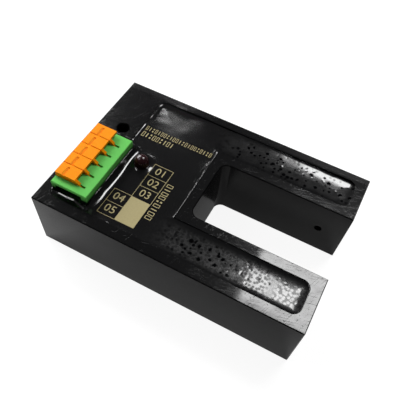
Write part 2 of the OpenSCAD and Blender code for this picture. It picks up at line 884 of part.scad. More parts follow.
housing();
potting_resin();
circuit_board();
terminal_housing();
clamp_lever(1);  // clamp_lever_1
clamp_lever(2);  // clamp_lever_2
clamp_lever(3);  // clamp_lever_3
clamp_lever(4);  // clamp_lever_4
clamp_lever(5);  // clamp_lever_5
clamp_spring(1);  // clamp_spring_1
clamp_spring(2);  // clamp_spring_2
clamp_spring(3);  // clamp_spring_3
clamp_spring(4);  // clamp_spring_4
clamp_spring(5);  // clamp_spring_5
contact(1);  // contact_1
contact(2);  // contact_2
contact(3);  // contact_3
contact(4);  // contact_4
contact(5);  // contact_5
status_lamp();
infrared_emitter();
infrared_receiver();
emitter_bore_plug();
receiver_bore_plug();
voltage_regulator();
comparator();
output_transistor(1);  // output_transistor_1
output_transistor(2);  // output_transistor_2
protection_diode();
smoothing_capacitor();
chip_resistors();
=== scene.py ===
"""Looks of a fork optical sensor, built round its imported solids, in metres with +Z up."""
import math

import bmesh
import bpy
import numpy as np
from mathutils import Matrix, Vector


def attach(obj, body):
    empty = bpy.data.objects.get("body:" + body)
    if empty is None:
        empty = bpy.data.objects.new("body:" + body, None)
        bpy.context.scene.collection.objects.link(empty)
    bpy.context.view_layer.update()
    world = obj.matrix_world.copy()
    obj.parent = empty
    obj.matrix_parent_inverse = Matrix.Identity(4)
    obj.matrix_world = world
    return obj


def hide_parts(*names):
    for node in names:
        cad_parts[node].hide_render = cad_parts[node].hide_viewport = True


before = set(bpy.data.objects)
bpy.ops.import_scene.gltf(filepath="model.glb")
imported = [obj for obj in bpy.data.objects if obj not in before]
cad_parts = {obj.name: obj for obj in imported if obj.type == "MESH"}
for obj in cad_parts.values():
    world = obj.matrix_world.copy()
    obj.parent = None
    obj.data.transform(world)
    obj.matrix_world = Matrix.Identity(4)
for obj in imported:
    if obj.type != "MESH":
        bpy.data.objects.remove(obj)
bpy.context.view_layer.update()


# Camera
# A lens of normal length stands above the emitter arm's side, a little towards the open end.
# Its shift only sets the sensor in the picture's frame.
MM = 0.001
FOCAL_LENGTH = 43.31
SENSOR_WIDTH = 36
SHIFT_X = 0.0124
SHIFT_Y = 0.0872
CAMERA_PLACE = np.array([36.08, -91.65, 153.49])
CAMERA_TURN = np.radians([31.516, -3.156, 27.902])
camera_data = bpy.data.cameras.new("camera")
camera_data.lens = FOCAL_LENGTH
camera_data.sensor_width = SENSOR_WIDTH
camera_data.shift_x = SHIFT_X
camera_data.shift_y = SHIFT_Y
camera = bpy.data.objects.new("camera", camera_data)
camera.location = CAMERA_PLACE * MM
camera.rotation_euler = CAMERA_TURN
bpy.context.scene.collection.objects.link(camera)
bpy.context.scene.camera = camera


# Housing
# One block of black acetal, milled on all sides and polished with a cloth. Its skin is glossy, with
# fine crossing scratches and small pits, and a cutter's pass has left a line near one edge.
PASS_LINE_Y = 29.3 * MM
TOP_Z = 24 * MM
SCRATCH_WIDTH = 0.14 * MM
SCRATCH_DEPTH = 0.006 * MM
PIT_SIZE = 0.7
BAND_HEIGHT = 1.2
ACETAL_IOR = 1.48


def linear(code):
    """Linear colour of an sRGB hex code: each channel through the two-part sRGB curve, alpha 1."""
    values = np.array([int(code[place:place + 2], 16) for place in (1, 3, 5)]) / 255
    curved = np.where(values <= 0.04045, values / 12.92, ((values + 0.055) / 1.055) ** 2.4)
    return (*curved, 1.0)


def add(tree, kind, inputs, out=0, **settings):
    """Adds a node with its settings, and returns the output that is asked for. An input is named or
    numbered, and gets a plain value or a socket to link. A Map Range has its value at 0, the ends it
    comes from at 1 and 2, and those it goes to at 3 and 4. A Mix has its share at 0, two numbers at
    2 and 3, and two colours at 6 and 7."""
    made = tree.nodes.new("ShaderNode" + kind)
    for name, value in settings.items():
        setattr(made, name, value)
    for socket, value in inputs.items():
        if isinstance(value, bpy.types.NodeSocket):
            tree.links.new(value, made.inputs[socket])
        else:
            made.inputs[socket].default_value = value
    return made.outputs[out] if made.outputs else None


def per_length(x, y, z):
    """Scale that turns metres into grains of the given lengths in millimetres on the three axes."""
    return [1 / (x * MM), 1 / (y * MM), 1 / (z * MM)]


def surface(name, build):
    """New material whose shader's inputs are what the function build returns for its node tree."""
    material = bpy.data.materials.new(name)
    material.use_nodes = True
    tree = material.node_tree
    tree.nodes.clear()
    shader = add(tree, "BsdfPrincipled", build(tree))
    add(tree, "OutputMaterial", {"Surface": shader})
    return material


def milled_acetal(tree):
    """Black acetal. On top: a polished skin with scratches in two directions, smudges, pits, and a
    duller strip past the cutter's line. On the sides: a rougher skin with faint bands along the
    cutter's path, which mirrors less towards the top."""
    place = add(tree, "TexCoord", {}, "Object")
    across = add(tree, "SeparateXYZ", {0: place}, "Y")
    height = add(tree, "SeparateXYZ", {0: place}, "Z")
    top = add(tree, "MapRange", {0: height, 1: TOP_Z - 0.1 * MM, 2: TOP_Z - 0.02 * MM})
    strip = add(tree, "MapRange", {0: across, 1: PASS_LINE_Y, 2: PASS_LINE_Y + 0.1 * MM})

    # Scratches: the peaks of a noise that is drawn out long and thin, in two directions.
    fine = add(tree, "Mapping", {0: place, "Rotation": (0, 0, 0.25),
                                 "Scale": (9 * MM, SCRATCH_WIDTH, 3 * MM)}, vector_type="TEXTURE")
    fine = add(tree, "TexNoise", {"Vector": fine, "Scale": 1, "Detail": 2})
    crossing = add(tree, "Mapping", {0: place, "Rotation": (0, 0, 1.2),
                                     "Scale": (7 * MM, SCRATCH_WIDTH, 3 * MM)}, vector_type="TEXTURE")
    crossing = add(tree, "TexNoise", {"Vector": crossing, "Scale": 1, "Detail": 2})
    scratches = add(tree, "Math", {0: fine, 1: crossing}, operation="MAXIMUM")
    scratches = add(tree, "MapRange", {0: scratches, 1: 0.65, 2: 0.75})

    # Smudges are a slow noise, pits the peaks of a fine one, and bands lie round the sides.
    smudges = add(tree, "Mapping", {0: place, "Scale": per_length(6, 4, 4)})
    smudges = add(tree, "TexNoise", {"Vector": smudges, "Scale": 1, "Detail": 4})
    pits = add(tree, "Mapping", {0: place, "Scale": per_length(PIT_SIZE, PIT_SIZE, PIT_SIZE)})
    pits = add(tree, "TexNoise", {"Vector": pits, "Scale": 1, "Detail": 1})
    pits = add(tree, "MapRange", {0: pits, 1: 0.68, 2: 0.8})
    bands = add(tree, "Mapping", {0: place, "Scale": per_length(40, 40, BAND_HEIGHT)})
    bands = add(tree, "TexNoise", {"Vector": bands, "Scale": 1, "Detail": 3})

    # How rough and how bright each skin is, and what scratches and pits take from the polish.
    gloss = add(tree, "MapRange", {0: smudges, 1: 0.35, 2: 0.7, 3: 0.05, 4: 0.09})
    gloss = add(tree, "Math", {0: strip, 1: 0.1, 2: gloss}, operation="MULTIPLY_ADD")
    satin = add(tree, "MapRange", {0: bands, 1: 0.3, 2: 0.7, 3: 0.2, 4: 0.25})
    mirror = add(tree, "MapRange", {0: height, 1: 2 * MM, 2: TOP_Z, 3: 0.44, 4: 0.15})
    polish = add(tree, "MapRange", {0: smudges, 1: 0.35, 2: 0.7, 3: 0.85, 4: 0.62})
    polish = add(tree, "Math", {0: scratches, 1: -0.5, 2: polish}, operation="MULTIPLY_ADD")
    polish = add(tree, "Math", {0: pits, 1: -0.6, 2: polish}, operation="MULTIPLY_ADD")
    worn = add(tree, "Math", {0: scratches, 1: 0.35}, operation="MULTIPLY")

    relief = add(tree, "Math", {0: scratches, 1: pits}, operation="SUBTRACT")
    relief = add(tree, "Math", {0: relief, 1: top}, operation="MULTIPLY")
    relief = add(tree, "Math", {0: bands, 1: 0.1, 2: relief}, operation="MULTIPLY_ADD")
    bump = add(tree, "Bump", {"Height": relief, "Distance": SCRATCH_DEPTH, "Strength": 1})
    return {
        "Base Color": add(tree, "Mix", {0: worn, 6: linear("#070708"), 7: linear("#18191a")}, 2,
                          data_type="RGBA"),
        "Roughness": add(tree, "Mix", {0: top, 2: satin, 3: 0.3}),
        "IOR": ACETAL_IOR,
        "Specular IOR Level": add(tree, "Mix", {0: top, 2: mirror, 3: 0.05}),
        "Coat Weight": add(tree, "Math", {0: top, 1: polish}, operation="MULTIPLY"),
        "Coat Roughness": gloss,
        "Coat IOR": ACETAL_IOR,
        "Normal": bump,
        "Coat Normal": bump,
    }


acetal = surface("acetal_milled_black", milled_acetal)


def dress(name, material):
    """Gives a solid its material in every slot."""
    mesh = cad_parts[name].data
    mesh.materials.clear()
    mesh.materials.append(material)


dress("housing", acetal)


# Bore plugs
# A turned plug of the same acetal closes each bore that was drilled from outside for a diode.
dress("emitter_bore_plug", acetal)
dress("receiver_bore_plug", acetal)


# Potting resin
# Black epoxy, poured into the pocket and left to level. It creeps up every wall, the terminal block
# and the lamp, sinks deeper in the narrow arms, and has caught bubbles there.
BODY_LEVEL = 23.45
ARM_LEVEL = 23.15
FAR_FALL_START_X = 8
FAR_FALL = 0.012
BOARD_TOP_Z = 16.2
BOARD_UNDERSIDE_Z = 14.6
POCKET_FLOOR_Z = 8.0
LEDGE_WIDTH = 1.2
CUTTER_RADIUS = 3.0
BODY_CREEP = 0.2
ARM_CREEP = 0.35
CREEP_LENGTH = 2.1
EDGE_CREEP = 0.1
NEAR_EDGE_LOSS = 0.07
PAD_EDGE_GAIN = 0.08
ISLAND_EDGE_LOSS = 0.05
EDGE_LENGTH = 0.45
BEAD_WIDTH = 1.65
BEAD_FOOT = 0.4
BEAD_WALL_GAP = 0.8
LAMP_CREEP = 0.8
LAMP_CREEP_LENGTH = 1.1
UNEVENNESS = 0.1
WAVE_STEEPNESS = 0.0002
GRID_STEP = 0.22
BRIM_RISE = 0.36
BRIM_WIDTH = 0.22
BRIM = np.array([(-44, -26.3), (-41.3, -25.9), (-38.4, -26.0), (-35.5, -25.8), (-34, -26.25),
                 (-30.9, -27.1)])
BLOCK_LOW = np.array([-43.85, -25.55])
BLOCK_HIGH = np.array([-30.25, 2.35])
RECESS_REAR_X = -42.55
RECESS_FRONT_X = -32.45
RECESS_FLOOR_Y = -23.55
LAMP_PLACE = np.array([-24.1, -1.9])
LAMP_RADIUS = 2.5
POCKET_CORNERS = [
    (-44.4, -28.0, True),
    (44.4, -28.0, True),
    (44.4, -15.5, True),
    (-3.9, -15.5, False),
    (-3.9, 16.6, False),
    (44.4, 16.6, True),
    (44.4, 28.6, True),
    (-33.2, 28.6, True),
    (-33.2, 6.4, False),
    (-44.4, 6.4, True),
]


def pocket_loop(inset):
    """Closed outline of the pocket in millimetres. Each wall line is moved in by the inset, each corner
    is where two moved lines meet, and a corner that the cutter left round becomes an arc."""
    corners = np.array([corner[:2] for corner in POCKET_CORNERS])
    into = np.sign(np.roll(corners, -1, axis=0) - corners)
    before = np.roll(into, 1, axis=0)
    inward = np.stack([-into[:, 1] - before[:, 1], into[:, 0] + before[:, 0]], axis=1)
    moved = corners + inset * inward
    radius = CUTTER_RADIUS - inset
    turns = np.linspace(0, 1, 9)[:, None] * math.pi / 2
    loop = []
    for place, first, second, (_, _, is_round) in zip(moved, before, into, POCKET_CORNERS):
        if is_round:
            start = place - radius * first
            loop.append(start + radius * (np.sin(turns) * first + (1 - np.cos(turns)) * second))
        else:
            loop.append(place[None, :])
    return np.concatenate(loop)


def ring(centre, radius, count=48):
    """Closed circle of points."""
    angles = np.linspace(0, 2 * math.pi, count, endpoint=False)
    return centre + radius * np.stack([np.cos(angles), np.sin(angles)], axis=1)


def nearest_on(loop, points):
    """Distance from each point to a closed loop, and the nearest place on it: each point is projected
    on every side of the loop, held between that side's ends, and the closest foot is kept."""
    start = loop
    side = np.roll(loop, -1, axis=0) - start
    offset = points[:, None, :] - start[None]
    share = np.clip((offset * side).sum(2) / (side ** 2).sum(1), 0, 1)
    feet = start + share[..., None] * side
    gaps = np.linalg.norm(points[:, None, :] - feet, axis=2)
    best = gaps.argmin(axis=1)
    rows = np.arange(len(points))
    return gaps[rows, best], feet[rows, best]


def within(loop, points):
    """True for points inside a closed loop: a ray to +X crosses its sides an odd number of times."""
    x, y = points[:, 0, None], points[:, 1, None]
    x1, y1 = loop[:, 0], loop[:, 1]
    x2, y2 = np.roll(x1, -1), np.roll(y1, -1)
    spans = (y1 > y) != (y2 > y)
    rise = np.where(y2 == y1, 1, y2 - y1)
    crossed = spans & (x < (x2 - x1) * (y - y1) / rise + x1)
    return crossed.sum(axis=1) % 2 == 1


wall_loop = pocket_loop(0)
block_loop = np.array([BLOCK_LOW, [RECESS_REAR_X, BLOCK_LOW[1]], [RECESS_REAR_X, RECESS_FLOOR_Y],
                       [RECESS_FRONT_X, RECESS_FLOOR_Y], [RECESS_FRONT_X, BLOCK_LOW[1]],
                       [BLOCK_HIGH[0], BLOCK_LOW[1]], BLOCK_HIGH, [BLOCK_LOW[0], BLOCK_HIGH[1]]])
lamp_loop = ring(LAMP_PLACE, LAMP_RADIUS)
# The bead's path is open, so it is walked there and back to count as a loop.
bead_path = np.array([[BLOCK_HIGH[0], BLOCK_LOW[1] + 0.5], BLOCK_HIGH, [BLOCK_LOW[0], BLOCK_HIGH[1]],
                      BLOCK_HIGH])
# Seven bubbles in ten lie in the emitter arm, the others in the receiver arm, where they are deeper,
# and both arms hold more of them towards the open end.
bubble_draw = np.random.default_rng(5)
BUBBLES = 260
bubble_x = 44 - 58 * bubble_draw.random(BUBBLES) ** 1.2
bubble_y = np.where(bubble_draw.random(BUBBLES) < 0.7,
                    bubble_draw.uniform(-27.5, -16.5, BUBBLES),
                    bubble_draw.uniform(17.5, 27.5, BUBBLES))
bubble_radius = 0.22 + 0.4 * bubble_draw.random(BUBBLES) ** 2
bubble_depth = bubble_draw.uniform(-0.006, 0.02, BUBBLES) * np.where(bubble_y > 0, 1.8, 1)
WAVES = 24
wave_draw = np.random.default_rng(11)
wave_heading = wave_draw.uniform(0, math.pi, WAVES)
wave_length = wave_draw.uniform(4, 24, WAVES)
wave_phase = wave_draw.uniform(0, 2 * math.pi, WAVES)


def ease(value, low, high):
    """Smooth step from 0 at low to 1 at high: 3t squared minus 2t cubed."""
    share = np.clip((value - low) / (high - low), 0, 1)
    return share * share * (3 - 2 * share)


def resin_height(points):
    """Height of the resin's skin: its level, which falls along the far arm, a rise that falls off
    exponentially from each wall and a shorter one at its very edge, a bead round the terminal block
    that slopes evenly to a soft foot, the logarithm of one plus an exponential, a rise round the
    lamp, and a step in front of the block's near end, one over one plus an exponential. A sum of
    long sine waves comes on top, and for each bubble a bell with a flat bottom, e to the minus
    fourth power of the distance over the radius. Regions blend by smooth steps in millimetres."""
    x, y = points[:, 0], points[:, 1]
    arm = ease(x, -7, 6)
    level = BODY_LEVEL + arm * (ARM_LEVEL - BODY_LEVEL)
    level -= FAR_FALL * np.maximum(x - FAR_FALL_START_X, 0) * ease(y, 12, 18)
    waves = np.zeros(len(points))
    swell = np.zeros(len(points))
    for heading, length, phase in zip(wave_heading, wave_length, wave_phase):
        along = x * math.cos(heading) + y * math.sin(heading)
        swing = np.sin(2 * math.pi * along / length + phase)
        waves += WAVE_STEEPNESS * length * swing
        swell += UNEVENNESS / math.sqrt(WAVES) * swing
    wall_gap = nearest_on(wall_loop, points)[0]
    bead_gap = nearest_on(bead_path, points)[0]
    lamp_gap = nearest_on(lamp_loop, points)[0]
    creep = (BODY_CREEP + ARM_CREEP * arm) * np.exp(-wall_gap / CREEP_LENGTH)
    near_wall = ease(-y, 20, 26) * (1 - arm)
    pad_wall = ease(-x, 29, 32) * ease(y, 0, 6)
    island_wall = ease(x, -8, -5) * ease(-np.abs(y), -17, -15)
    edge = EDGE_CREEP - NEAR_EDGE_LOSS * near_wall + PAD_EDGE_GAIN * pad_wall
    edge -= ISLAND_EDGE_LOSS * island_wall
    creep += edge * np.exp(-wall_gap / EDGE_LENGTH)
    creep *= 1 + swell * (3 - 2.6 * arm)
    bead = BEAD_FOOT * np.log1p(np.exp((BEAD_WIDTH + swell - bead_gap) / BEAD_FOOT))
    creep += bead * (1 - np.exp(-wall_gap / BEAD_WALL_GAP)) * ease(y, -27.5, -21)
    creep += LAMP_CREEP * np.exp(-lamp_gap / LAMP_CREEP_LENGTH)
    brim = np.interp(x, BRIM[:, 0], BRIM[:, 1])
    filled = BRIM_RISE / (1 + np.exp((brim - y) / BRIM_WIDTH))
    creep += filled * ease(-x, 29.5, 31) * ease(-y, 22.5, 24)
    dimples = np.zeros(len(points))
    for centre_x, centre_y, radius, depth in zip(bubble_x, bubble_y, bubble_radius, bubble_depth):
        away = ((x - centre_x) ** 2 + (y - centre_y) ** 2) / radius ** 2
        dimples -= depth * np.exp(-away ** 2)
    return level + creep + waves + dimples


def resin_skin():
    """Grid over the pocket whose outermost points are moved onto the walls, the terminal block's sides
    or the lamp, raised to the resin's height. Returns its points and its quads."""
    low = wall_loop.min(axis=0) - GRID_STEP
    high = wall_loop.max(axis=0) + GRID_STEP
    xs = np.arange(low[0], high[0] + GRID_STEP, GRID_STEP)
    ys = np.arange(low[1], high[1] + GRID_STEP, GRID_STEP)
    flat = np.stack(np.meshgrid(xs, ys, indexing="ij"), axis=-1)
    shape = flat.shape[:2]
    points = flat.reshape(-1, 2)
    inside = within(wall_loop, points) & ~within(block_loop, points) & ~within(lamp_loop, points)
    grid = inside.reshape(shape)
    near = grid.copy()
    for step_x in (-1, 0, 1):
        for step_y in (-1, 0, 1):
            near |= np.roll(grid, (step_x, step_y), axis=(0, 1))
    used = near.reshape(-1)
    gaps = np.full(len(points), np.inf)
    feet = points.copy()
    for loop in (wall_loop, block_loop, lamp_loop):
        gap, foot = nearest_on(loop, points[used])
        closer = gap < gaps[used]
        rows = np.flatnonzero(used)[closer]
        gaps[rows] = gap[closer]
        feet[rows] = foot[closer]
    moved = used & (~inside | (gaps < 0.3 * GRID_STEP))
    points = np.where(moved[:, None], feet, points)
    number = np.arange(len(points)).reshape(shape)
    quads = np.stack([number[:-1, :-1], number[1:, :-1], number[1:, 1:], number[:-1, 1:]], axis=-1)
    quads = quads.reshape(-1, 4)
    kept = used[quads].all(axis=1) & (inside & ~moved)[quads].any(axis=1)
    quads = quads[kept]
    names, renumbered = np.unique(quads, return_inverse=True)
    points = points[names]
    heights = resin_height(points)
    return np.column_stack([points, heights]), renumbered.reshape(-1, 4)


def closed_down(points, quads, floor):
    """Mesh of a skin closed to a flat floor: each open edge of the skin gets a wall straight down,
    and the loops at the bottom are filled."""
    mesh = bpy.data.meshes.new("casting")
    mesh.from_pydata(points * MM, [], quads.tolist())
    shell = bmesh.new()
    shell.from_mesh(mesh)
    bmesh.ops.remove_doubles(shell, verts=shell.verts, dist=0.002 * MM)
    bmesh.ops.dissolve_degenerate(shell, edges=shell.edges, dist=0.002 * MM)
    for face in shell.faces:
        face.smooth = True
    open_edges = [edge for edge in shell.edges if edge.is_boundary]
    drawn = bmesh.ops.extrude_edge_only(shell, edges=open_edges)["geom"]
    for item in drawn:
        if isinstance(item, bmesh.types.BMVert):
            item.co.z = floor * MM
        if isinstance(item, bmesh.types.BMFace):
            item.smooth = False
    low_edges = [edge for edge in shell.edges if edge.is_boundary]
    bmesh.ops.triangle_fill(shell, edges=low_edges, use_beauty=False)
    bmesh.ops.recalc_face_normals(shell, faces=shell.faces)
    shell.to_mesh(mesh)
    shell.free()
    return mesh


def prism(loop, low, high):
    """Points and faces of a straight prism on a closed loop."""
    count = len(loop)
    points = np.concatenate([np.column_stack([loop, np.full(count, height)]) for height in (low, high)])
    here = np.arange(count)
    after = (here + 1) % count
    sides = np.stack([here, after, after + count, here + count], axis=1)
    return points, [*sides.tolist(), here[::-1].tolist(), (here + count).tolist()]


ARM_MIDDLE_Y = 22.2
RIPPLE_LENGTH = 2.2
RIPPLE_DEPTH = 0.01
FOAM_CELL = 1.15
PIT_CELL = 1.7
UNPITTED_SHARE = 0.5
EPOXY_IOR = 1.55


def poured_epoxy(tree):
    """Black epoxy: nearly a mirror, with a film of haze along the middle of each arm. In the arms
    bubbles have burst into flat pits, and near the emitter arm's end a foam of fine bubbles, a net of
    cells of about 1 mm, has dulled the skin between its threads."""
    place = add(tree, "TexCoord", {}, "Object")
    along = add(tree, "SeparateXYZ", {0: place}, "X")
    across = add(tree, "SeparateXYZ", {0: place}, "Y")
    arm = add(tree, "MapRange", {0: along, 1: -10 * MM, 2: 3 * MM})
    near_arm = add(tree, "MapRange", {0: across, 1: 0, 2: -5 * MM})
    far_end = add(tree, "MapRange", {0: along, 1: 20 * MM, 2: 26 * MM})
    foamy = add(tree, "Math", {0: near_arm, 1: far_end}, operation="MULTIPLY")
    clear = add(tree, "Math", {0: 1, 1: foamy}, operation="SUBTRACT")
    off_middle = add(tree, "Math", {0: across}, operation="ABSOLUTE")
    off_middle = add(tree, "Math", {0: off_middle, 1: ARM_MIDDLE_Y * MM}, operation="SUBTRACT")
    off_middle = add(tree, "Math", {0: off_middle}, operation="ABSOLUTE")
    middle = add(tree, "MapRange", {0: off_middle, 1: 3.6 * MM, 2: 5.4 * MM, 3: 1, 4: 0})
    middle = add(tree, "Math", {0: middle, 1: arm}, operation="MULTIPLY")

    # Ripples, faint in the body and stronger in the arms.
    ripple = add(tree, "Mapping", {0: place,
                                   "Scale": per_length(RIPPLE_LENGTH, RIPPLE_LENGTH, RIPPLE_LENGTH)})
    ripple = add(tree, "TexNoise", {"Vector": ripple, "Scale": 1, "Detail": 1})
    swing = add(tree, "MapRange", {0: arm, 3: 0.03, 4: 1})
    relief = add(tree, "Math", {0: ripple, 1: swing}, operation="MULTIPLY")

    # Foam: bright threads round dull cells, which turn to bright drops near the arm's end.
    net = add(tree, "Mapping", {0: place, "Scale": per_length(FOAM_CELL, FOAM_CELL, FOAM_CELL)})
    net = add(tree, "TexVoronoi", {"Vector": net, "Scale": 1}, "Distance", voronoi_dimensions="2D")
    threads = add(tree, "MapRange", {0: net, 1: 0.28, 2: 0.52})
    blobs = add(tree, "MapRange", {0: net, 1: 0.3, 2: 0.55, 3: 1, 4: 0})
    turned = add(tree, "MapRange", {0: along, 1: 31 * MM, 2: 36 * MM})
    foam = add(tree, "Mix", {0: turned, 2: threads, 3: blobs})
    dulled = add(tree, "MapRange", {0: foam, 3: 0.7, 4: 0.05})
    dulled = add(tree, "Math", {0: dulled, 1: foamy}, operation="MULTIPLY")

    # Burst bubbles: half of the cells hold a dull pit, whose radius is drawn with the cell's colour.
    cell = add(tree, "Mapping", {0: place, "Scale": per_length(PIT_CELL, PIT_CELL, PIT_CELL)})
    reach = add(tree, "TexVoronoi", {"Vector": cell, "Scale": 1}, "Distance", voronoi_dimensions="2D")
    drawn = add(tree, "TexVoronoi", {"Vector": cell, "Scale": 1}, "Color", voronoi_dimensions="2D")
    drawn = add(tree, "SeparateColor", {0: drawn})
    radius = add(tree, "MapRange", {0: drawn, 1: UNPITTED_SHARE, 2: 1, 3: 0.22, 4: 0.6})
    inner = add(tree, "Math", {0: radius, 1: 0.6}, operation="MULTIPLY")
    burst = add(tree, "MapRange", {0: reach, 1: inner, 2: radius, 3: 1, 4: 0})
    chosen = add(tree, "Math", {0: drawn, 1: UNPITTED_SHARE}, operation="GREATER_THAN")
    chosen = add(tree, "Math", {0: chosen, 1: middle}, operation="MULTIPLY")
    chosen = add(tree, "Math", {0: chosen, 1: clear}, operation="MULTIPLY")
    burst = add(tree, "Math", {0: burst, 1: chosen}, operation="MULTIPLY")
    whole = add(tree, "Math", {0: 1, 1: burst}, operation="SUBTRACT")

    # Haze: a cloudy film, with wiped streaks and the foam's strands, in the middle of each arm.
    wiped = add(tree, "Mapping", {0: place, "Rotation": (0, 0, 0.3),
                                  "Scale": (8 * MM, SCRATCH_WIDTH, 3 * MM)}, vector_type="TEXTURE")
    wiped = add(tree, "TexNoise", {"Vector": wiped, "Scale": 1, "Detail": 2})
    wiped = add(tree, "MapRange", {0: wiped, 1: 0.58, 2: 0.75})
    film = add(tree, "Mapping", {0: place, "Scale": per_length(3, 3, 3)})
    film = add(tree, "TexNoise", {"Vector": film, "Scale": 1, "Detail": 4})
    strands = add(tree, "Math", {0: threads, 1: near_arm}, operation="MULTIPLY")
    strands = add(tree, "Math", {0: wiped, 1: strands}, operation="ADD")
    hazy = add(tree, "MapRange", {0: film, 1: 0.38, 2: 0.6, 3: 0.01, 4: 0.06})
    hazy = add(tree, "Math", {0: strands, 1: 0.1, 2: hazy}, operation="MULTIPLY_ADD")
    hazy = add(tree, "Math", {0: hazy, 1: middle}, operation="MULTIPLY")
    hazy = add(tree, "Math", {0: hazy, 1: 0.03})
    bright = add(tree, "Math", {0: whole, 1: dulled}, operation="SUBTRACT")
    return {
        "Base Color": linear("#050506"),
        "Roughness": 0.36,
        "IOR": EPOXY_IOR,
        "Specular IOR Level": add(tree, "Math", {0: whole, 1: hazy}, operation="MULTIPLY"),
        "Coat Weight": bright,
        "Coat Roughness": 0.11,
        "Coat IOR": EPOXY_IOR,
        "Coat Normal": add(tree, "Bump", {"Height": relief, "Distance": RIPPLE_DEPTH * MM,
                                          "Strength": 1}),
    }


skin_points, skin_quads = resin_skin()
resin_mesh = closed_down(skin_points, skin_quads, BOARD_TOP_Z)
lower_points, lower_faces = prism(pocket_loop(LEDGE_WIDTH), POCKET_FLOOR_Z, BOARD_UNDERSIDE_Z)
lower_mesh = bpy.data.meshes.new("lower_casting")
lower_mesh.from_pydata(lower_points * MM, [], lower_faces)
joined = bmesh.new()
joined.from_mesh(resin_mesh)
joined.from_mesh(lower_mesh)
joined.to_mesh(resin_mesh)
joined.free()
bpy.data.meshes.remove(lower_mesh)
resin_mesh.materials.append(surface("epoxy_poured_black", poured_epoxy))


def piece(name, mesh, body, slot, *replaced):
    """Object of a finished mesh that rides on a body and may replace solids. Its slot is not used."""
    made = bpy.data.objects.new(name, mesh)
    bpy.context.scene.collection.objects.link(made)
    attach(made, body)
    if replaced:
        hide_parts(*replaced)
    return made


piece("resin_casting", resin_mesh, "sensor_body", "black_resin", "potting_resin")


# Printing
# Cream ink, screen-printed on the cured resin: a frame of five boxes round the numbers of the poles,
# a filled field, and rows of plain marks.
INK_LIFT = 0.02
INK_STEP = 0.5
INK_LINE = 0.18
BOX_LEFT_X = -26.8
BOX_MIDDLE_X = -20.3
BOX_RIGHT_X = -13.1
UPPER_BOX_LINES = [0.8, -4.4, -9.6, -14.8]
LOWER_BOX_LINES = [-14.8, -20.15, -25.5]
NUMBER_SIZE = 4.2
NUMBER_DROP = 2.6
MARK_ROWS = [
    {"corner": (-12.2, -4.6), "along": (0, -1), "up": (1, 0), "kinds": "oioo:oioo",
     "pitch": 1.8, "size": (1.1, 2.1), "line": 0.24},
    {"corner": (-31.6, 13.1), "along": (1, 0), "up": (0, 1), "kinds": "oi:oioo:iooi:oioo:oi:o",
     "pitch": 1.22, "size": (0.62, 1.8), "line": 0.18},
    {"corner": (-31.6, 9.9), "along": (1, 0), "up": (0, 1), "kinds": "oi:oo:ioi",
     "pitch": 1.45, "size": (0.8, 2.1), "line": 0.22},
]


def printed_bar(start, end, width):
    """Flat bar between two places: a grid across and along it, laid on the resin's own height."""
    start, end = np.array(start, float), np.array(end, float)
    length = np.linalg.norm(end - start)
    along = (end - start) / length
    across = np.array([-along[1], along[0]])
    steps = max(2, int(length / INK_STEP) + 1)
    lanes = max(2, int(width / INK_STEP) + 1)
    run, side = np.meshgrid(np.linspace(0, length, steps), np.linspace(-0.5, 0.5, lanes) * width,
                            indexing="ij")
    flat = start + run.reshape(-1, 1) * along + side.reshape(-1, 1) * across
    points = np.column_stack([flat, resin_height(flat) + INK_LIFT])
    number = np.arange(steps * lanes).reshape(steps, lanes)
    faces = np.stack([number[:-1, :-1], number[1:, :-1], number[1:, 1:], number[:-1, 1:]], axis=-1)
    return points, faces.reshape(-1, 4)


def printed_row(corner, along, up, kinds, pitch, size, line):
    """Bars of a row of plain marks at a pitch along one direction, one mark for each letter of kinds:
    o is a blank box, i is an upright bar, and anything else is two short bars."""
    corner, along, up = np.array(corner, float), np.array(along, float), np.array(up, float)
    half = along * line / 2
    bars = []
    for index, kind in enumerate(kinds):
        low = corner + along * pitch * index
        ends = [low, low + along * size[0], low + along * size[0] + up * size[1], low + up * size[1]]
        middle = (ends[0] + ends[1]) / 2
        if kind == "o":
            bars.append((ends[0] - half, ends[1] + half, line))
            bars.append((ends[3] - half, ends[2] + half, line))
            bars.append((ends[0], ends[3], line))
            bars.append((ends[1], ends[2], line))
        elif kind == "i":
            bars.append((middle, middle + up * size[1], 1.5 * line))
        else:
            bars.append((middle, middle + up * size[1] * 0.35, 2.5 * line))
            bars.append((middle + up * size[1] * 0.65, middle + up * size[1], 2.5 * line))
    return bars


def screen_ink(tree):
    """Cream screen ink: matt, with the mesh's faint unevenness."""
    place = add(tree, "TexCoord", {}, "Object")
    patchy = add(tree, "Mapping", {0: place, "Scale": per_length(0.6, 0.6, 0.6)})
    patchy = add(tree, "TexNoise", {"Vector": patchy, "Scale": 1, "Detail": 3})
    return {
        "Base Color": add(tree, "Mix", {0: patchy, 6: linear("#968a5a"), 7: linear("#a5996a")}, 2,
                          data_type="RGBA"),
        "Roughness": 0.55,
        "Normal": add(tree, "Bump", {"Height": patchy, "Distance": 0.01 * MM, "Strength": 1}),
    }


